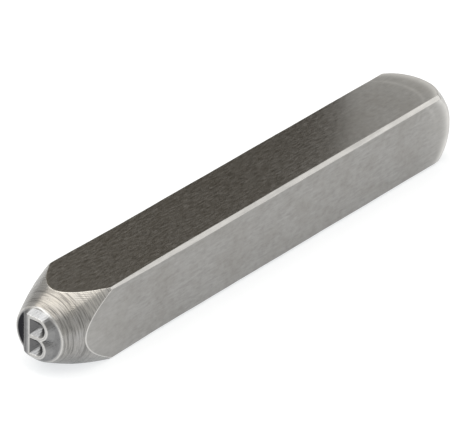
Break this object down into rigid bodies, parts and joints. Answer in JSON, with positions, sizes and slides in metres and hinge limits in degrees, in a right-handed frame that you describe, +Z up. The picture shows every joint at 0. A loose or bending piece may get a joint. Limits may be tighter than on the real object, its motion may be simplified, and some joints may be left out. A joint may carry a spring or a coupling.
{
  "type": "steel letter punch",
  "caption": "Square steel hand punch with a ground tapered head, a raised mirror-image letter on its face and a chamfered end for the hammer.",
  "frame": {"origin": "middle of the punch's footprint, on the surface that it lies on", "axes": "+X along the bar from the letter to the struck end, +Z up from the flat that it lies on, +Y across the bar"},
  "size_m": [0.07, 0.009, 0.009],
  "materials": {
    "ground_tool_steel": "ground tool steel, bare and lightly darkened by heat treatment, with bright corner bevels and fine grinding rings on the head"
  },
  "bodies": {
    "root": {"letter_punch": "ground_tool_steel"}
  },
  "joints": []
}
